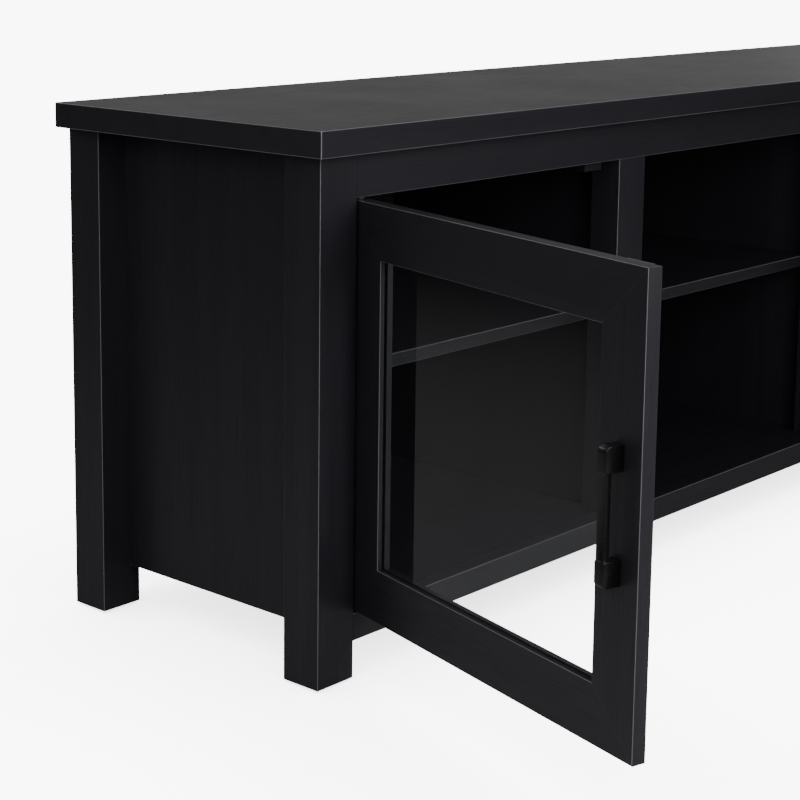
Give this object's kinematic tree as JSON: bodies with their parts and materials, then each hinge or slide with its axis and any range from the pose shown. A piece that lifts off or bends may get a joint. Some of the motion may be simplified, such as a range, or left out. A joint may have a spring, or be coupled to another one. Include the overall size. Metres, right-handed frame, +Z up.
{
  "type": "media cabinet",
  "caption": "Low black wooden media cabinet: thick overhanging top on corner posts, an open middle bay between glazed swinging doors, adjustable shelves inside.",
  "frame": {"origin": "on the floor, under the middle of the top panel's plan", "axes": "+X to the cabinet's right as seen from the front, +Y to the back, +Z up; the left door stands open at rest"},
  "size_m": [1.7022, 0.8226, 0.59],
  "materials": {
    "black_wood": "satin black over fine open wood grain",
    "black_board": "matt black thin back board",
    "beech": "raw beech dowel",
    "clear_glass": "clear polished pane",
    "black_metal": "satin black lacquer on metal",
    "steel": "zinc plated steel",
    "black_plastic": "moulded black plastic"
  },
  "bodies": {
    "cabinet": {"assembly_dowels": "beech", "back_panel_screws": "steel", "bottom_front_rail": "black_wood", "bottom_panel": "black_wood", "door_catches": "black_plastic", "foot_glides": "black_plastic", "front_apron": "black_wood", "front_left_post": "black_wood", "front_right_post": "black_wood", "left_back_panel": "black_board", "left_divider_panel": "black_wood", "left_divider_stile": "black_wood", "left_shelf": "black_wood", "left_side_panel": "black_wood", "middle_back_panel": "black_board", "middle_shelf": "black_wood", "pivot_bushes": "black_plastic", "rear_bottom_rail": "black_wood", "rear_left_post": "black_wood", "rear_right_post": "black_wood", "rear_top_rail": "black_wood", "right_back_panel": "black_board", "right_divider_panel": "black_wood", "right_divider_stile": "black_wood", "right_shelf": "black_wood", "right_side_panel": "black_wood", "shelf_pins": "steel", "top_panel": "black_wood"},
    "left_door": {"left_door_bottom_rail": "black_wood", "left_door_glass": "clear_glass", "left_door_glass_beads": "black_wood", "left_door_left_stile": "black_wood", "left_door_right_stile": "black_wood", "left_door_top_rail": "black_wood", "left_pivot_pins": "steel", "left_pull": "black_metal", "left_pull_screws": "steel", "left_strike_plate": "steel"},
    "right_door": {"right_door_bottom_rail": "black_wood", "right_door_glass": "clear_glass", "right_door_glass_beads": "black_wood", "right_door_left_stile": "black_wood", "right_door_right_stile": "black_wood", "right_door_top_rail": "black_wood", "right_pivot_pins": "steel", "right_pull": "black_metal", "right_pull_screws": "steel", "right_strike_plate": "steel"}
  },
  "joints": [
    {"name": "left_door_hinge", "type": "hinge", "parent": "cabinet", "child": "left_door", "pos_m": [-0.741, -0.179, 0.294], "axis": [0, 0, 1], "range_deg": [-5, 105]},
    {"name": "right_door_hinge", "type": "hinge", "parent": "cabinet", "child": "right_door", "pos_m": [0.741, -0.179, 0.294], "axis": [0, 0, 1], "range_deg": [0, 110]}
  ]
}
